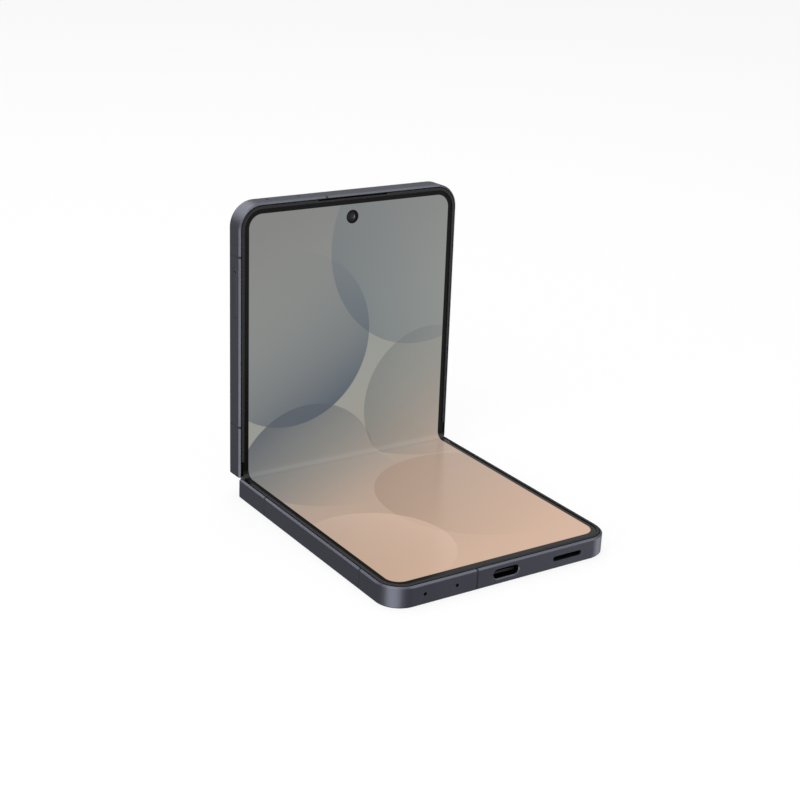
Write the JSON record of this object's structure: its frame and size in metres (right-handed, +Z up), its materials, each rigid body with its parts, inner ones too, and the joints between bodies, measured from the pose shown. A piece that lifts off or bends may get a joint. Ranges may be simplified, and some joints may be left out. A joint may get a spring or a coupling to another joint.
{
  "type": "foldable smartphone",
  "caption": "Clamshell folding phone with a flexible inner display across a twin-axis geared hinge, raised black trim, metal rails, rear cameras and keys.",
  "frame": {"origin": "middle of the lower half's rest face, on its back cover", "axes": "+Z up out of the lower half's display, +Y from the lower half's free end towards the fold, +X to the right along the fold"},
  "size_m": [0.0755, 0.0916, 0.0892],
  "materials": {
    "rail_aluminium": "bead-blasted, dark blue-grey anodised",
    "tray_aluminium": "bead-blasted, dark blue-grey anodised",
    "rail_break_plastic": "matt, coloured like the rails",
    "back_cover_glass": "matt etched, opaque backing",
    "cover_glass": "polished, black behind",
    "trim_rubber": "matt black",
    "display_film": "glossy, showing a soft grey to peach gradient",
    "display_steel": "fine brushed",
    "hinge_steel": "ground",
    "gear_brass": "machined",
    "battery_pouch": "wrapped film",
    "board_laminate": "solder mask",
    "module_plastic": "moulded black",
    "socket_steel": "drawn steel",
    "coil_copper": "enamelled copper wire",
    "lens_glass": "coated lens cover",
    "flash_diffuser": "ribbed diffuser",
    "cap_plastic": "matt black",
    "flex_film": "polyimide film"
  },
  "bodies": {
    "lower_half": {"lower_frame": "rail_aluminium", "lower_back_cover": "back_cover_glass", "lower_trim": "trim_rubber", "lower_display": "display_film", "lower_display_sheet": "display_steel", "lower_battery": "battery_pouch", "sub_board": "board_laminate", "usb_socket_shell": "socket_steel", "usb_socket_tongue": "module_plastic", "loudspeaker": "module_plastic", "vibration_motor": "socket_steel", "charging_coil": "coil_copper", "lower_rail_breaks": "rail_break_plastic", "lower_screws": "hinge_steel", "lower_microphones": "socket_steel", "lower_curved_rails": "hinge_steel"},
    "spine": {"spine_cover": "rail_aluminium", "hinge_blocks": "hinge_steel", "fold_support": "display_steel", "spine_end_caps": "cap_plastic", "spine_screws": "hinge_steel", "display_fold": "display_film", "hinge_flex": "flex_film"},
    "upper_half": {"upper_frame": "rail_aluminium", "cover_glass": "cover_glass", "cover_display": "display_film", "upper_trim": "trim_rubber", "upper_display": "display_film", "upper_display_sheet": "display_steel", "front_camera": "module_plastic", "earpiece": "module_plastic", "main_board": "board_laminate", "shield_cans": "socket_steel", "upper_battery": "battery_pouch", "rear_camera_modules": "module_plastic", "camera_rings": "socket_steel", "camera_lens_glasses": "lens_glass", "flash": "flash_diffuser", "card_reader": "socket_steel", "key_switches": "socket_steel", "upper_rail_breaks": "rail_break_plastic", "upper_screws": "hinge_steel", "upper_microphones": "socket_steel", "upper_curved_rails": "hinge_steel"},
    "lower_wing": {"lower_wing_plate": "display_steel"},
    "upper_wing": {"upper_wing_plate": "display_steel"},
    "lower_pinions": {"lower_pinions": "gear_brass"},
    "lower_idlers": {"lower_idlers": "gear_brass"},
    "upper_idlers": {"upper_idlers": "gear_brass"},
    "upper_pinions": {"upper_pinions": "gear_brass"},
    "card_tray": {"card_tray": "tray_aluminium"},
    "side_key": {"side_key": "rail_aluminium"},
    "volume_key": {"volume_key": "rail_aluminium"}
  },
  "joints": [
    {"name": "lower_fold", "type": "hinge", "parent": "lower_half", "child": "spine", "pos_m": [0, 0.04002, 0.0052], "axis": [1, 0, 0], "range_deg": [-44.5, 45.5], "deforming": ["display_fold", "hinge_flex"]},
    {"name": "upper_fold", "type": "hinge", "parent": "spine", "child": "upper_half", "pos_m": [0, 0.04238, 0.00751], "axis": [1, 0, 0], "range_deg": [-44.5, 45.5]},
    {"name": "lower_pinions_turn", "type": "hinge", "parent": "spine", "child": "lower_pinions", "pos_m": [0, 0.04064, 0.00351], "axis": [1, 0, 0], "range_deg": [-147.88, 144.62]},
    {"name": "lower_idlers_turn", "type": "hinge", "parent": "spine", "child": "lower_idlers", "pos_m": [0, 0.04178, 0.00463], "axis": [1, 0, 0], "range_deg": [-144.62, 147.88]},
    {"name": "upper_idlers_turn", "type": "hinge", "parent": "spine", "child": "upper_idlers", "pos_m": [0, 0.04292, 0.00575], "axis": [1, 0, 0], "range_deg": [-147.88, 144.62]},
    {"name": "upper_pinions_turn", "type": "hinge", "parent": "spine", "child": "upper_pinions", "pos_m": [0, 0.04406, 0.00687], "axis": [1, 0, 0], "range_deg": [-144.62, 147.88]},
    {"name": "lower_wing_tilt", "type": "hinge", "parent": "lower_half", "child": "lower_wing", "pos_m": [0, 0.03263, 0.0053], "axis": [1, 0, 0], "range_deg": [-5.92, 5.79]},
    {"name": "upper_wing_tilt", "type": "hinge", "parent": "upper_half", "child": "upper_wing", "pos_m": [0, 0.04241, 0.01491], "axis": [1, 0, 0], "range_deg": [-5.79, 5.92]},
    {"name": "card_tray_slide", "type": "slide", "parent": "upper_half", "child": "card_tray", "axis": [-1, 0, 0], "range_m": [0, 0.0205]},
    {"name": "side_key_press", "type": "slide", "parent": "upper_half", "child": "side_key", "axis": [-1, 0, 0], "range_m": [0, 0.00025], "stiffness_N_per_m": 6000},
    {"name": "volume_key_rock", "type": "hinge", "parent": "upper_half", "child": "volume_key", "pos_m": [0.0361, 0.04535, 0.06882], "axis": [0, -0.9998, 0.0175], "range_deg": [-1, 1], "stiffness_Nm_per_rad": 0.6}
  ],
  "couplings": [
    {"joint": "upper_fold", "follows": "lower_fold", "ratio": 1},
    {"joint": "lower_pinions_turn", "follows": "lower_fold", "ratio": -3.25},
    {"joint": "lower_idlers_turn", "follows": "lower_fold", "ratio": 3.25},
    {"joint": "upper_idlers_turn", "follows": "lower_fold", "ratio": -3.25},
    {"joint": "upper_pinions_turn", "follows": "lower_fold", "ratio": 3.25},
    {"joint": "lower_wing_tilt", "follows": "lower_fold", "ratio": -0.13},
    {"joint": "upper_wing_tilt", "follows": "lower_fold", "ratio": 0.13}
  ]
}
